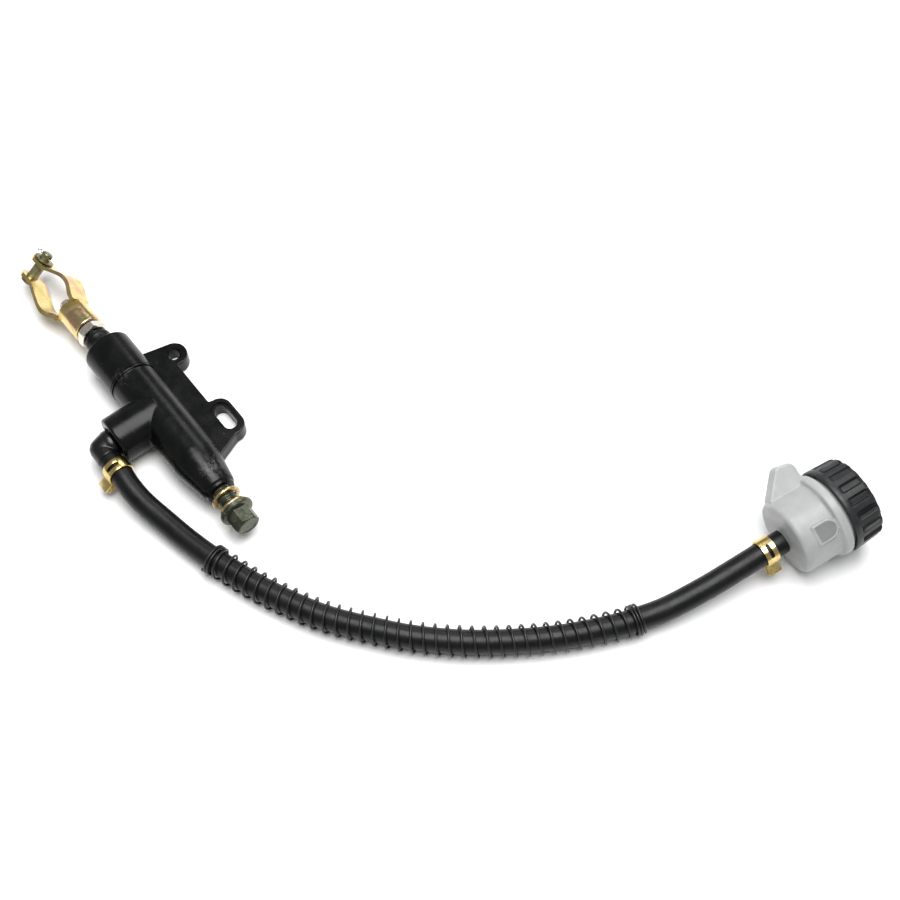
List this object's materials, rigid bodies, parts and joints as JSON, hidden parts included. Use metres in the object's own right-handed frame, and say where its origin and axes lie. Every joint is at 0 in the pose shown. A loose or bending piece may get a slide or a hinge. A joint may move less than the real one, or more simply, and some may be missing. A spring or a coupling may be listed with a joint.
{
  "type": "brake master cylinder",
  "caption": "Rear brake master cylinder with an adjustable clevis pushrod, a banjo bolt outlet and a remote fluid reservoir on a guarded rubber hose.",
  "frame": {"origin": "on the mounting flange's flat back face, under the bore's axis, midway between the mounting hole and the slot", "axes": "+X along the bore, the way the piston is pushed, from the clevis to the banjo bolt; +Y from the bore towards the mounting ears; +Z out of the flange's front"},
  "size_m": [0.4104, 0.29, 0.0473],
  "materials": {
    "black_casting": "satin to gloss black paint on a cast body",
    "black_plastic": "moulded black plastic, slightly shiny",
    "cap_plastic": "matte moulded black plastic",
    "black_rubber": "smooth black rubber",
    "black_wire": "black coated spring wire",
    "yellow_zinc": "yellow passivated zinc plate with a faint rainbow sheen",
    "olive_zinc": "dark olive passivated zinc plate",
    "bright_steel": "bright zinc plated steel",
    "copper": "plain copper",
    "milky_plastic": "milky translucent moulded plastic"
  },
  "bodies": {
    "root": {"cylinder_body": "black_casting", "stop_washer": "bright_steel", "snap_ring": "black_wire", "dust_boot": "black_rubber", "return_spring": "bright_steel", "crush_washer_inner": "copper", "inlet_elbow": "black_plastic", "elbow_o_ring": "black_rubber", "elbow_circlip": "black_wire", "hose": "black_rubber", "spring_guard": "black_wire", "hose_clamp_elbow": "yellow_zinc", "hose_clamp_reservoir": "yellow_zinc", "reservoir": "milky_plastic"},
    "piston_unit": {"piston": "bright_steel", "primary_cup": "black_rubber", "secondary_cup": "black_rubber", "spring_seat": "bright_steel"},
    "rod_unit": {"pushrod": "bright_steel", "lock_nut": "bright_steel", "clevis": "yellow_zinc"},
    "pin_unit": {"clevis_pin": "olive_zinc", "pin_washer": "olive_zinc", "cotter_pin": "bright_steel"},
    "outer_washer": {"crush_washer_outer": "copper"},
    "bolt": {"banjo_bolt": "olive_zinc"},
    "diaphragm_unit": {"diaphragm": "black_rubber", "diaphragm_plate": "milky_plastic"},
    "cap": {"reservoir_cap": "cap_plastic"}
  },
  "joints": [
    {"name": "piston_slide", "type": "slide", "parent": "root", "child": "piston_unit", "axis": [1, 0, 0], "range_m": [0, 0.007], "stiffness_N_per_m": 2000, "springref_m": -0.01, "deforming": ["return_spring", "dust_boot"]},
    {"name": "rod_turn", "type": "hinge", "parent": "piston_unit", "child": "rod_unit", "pos_m": [-0.031, 0, 0.0135], "axis": [0.9995, 0.0332, 0], "continuous": true},
    {"name": "pin_turn", "type": "hinge", "parent": "rod_unit", "child": "pin_unit", "pos_m": [-0.11595, -0.00282, 0.0135], "axis": [-0.0272, 0.8187, 0.5736], "continuous": true},
    {"name": "banjo_travel", "type": "slide", "parent": "root", "child": "outer_washer", "axis": [1, 0, 0], "range_m": [-0.005, 0.00875]},
    {"name": "banjo_turn", "type": "hinge", "parent": "outer_washer", "child": "bolt", "pos_m": [0.064, 0, 0.0135], "axis": [1, 0, 0], "range_deg": [-1442, 2523]},
    {"name": "cap_lift", "type": "slide", "parent": "root", "child": "diaphragm_unit", "axis": [0.1378, 0.9806, 0.1392], "range_m": [0, 0.006]},
    {"name": "cap_turn", "type": "hinge", "parent": "diaphragm_unit", "child": "cap", "pos_m": [0.26348, 0.2242, 0.02402], "axis": [0.1378, 0.9806, 0.1392], "range_deg": [0, 722]}
  ],
  "couplings": [
    {"joint": "banjo_turn", "follows": "banjo_travel", "rad_per_m": 5026.5},
    {"joint": "cap_turn", "follows": "cap_lift", "rad_per_m": 2094.4}
  ]
}
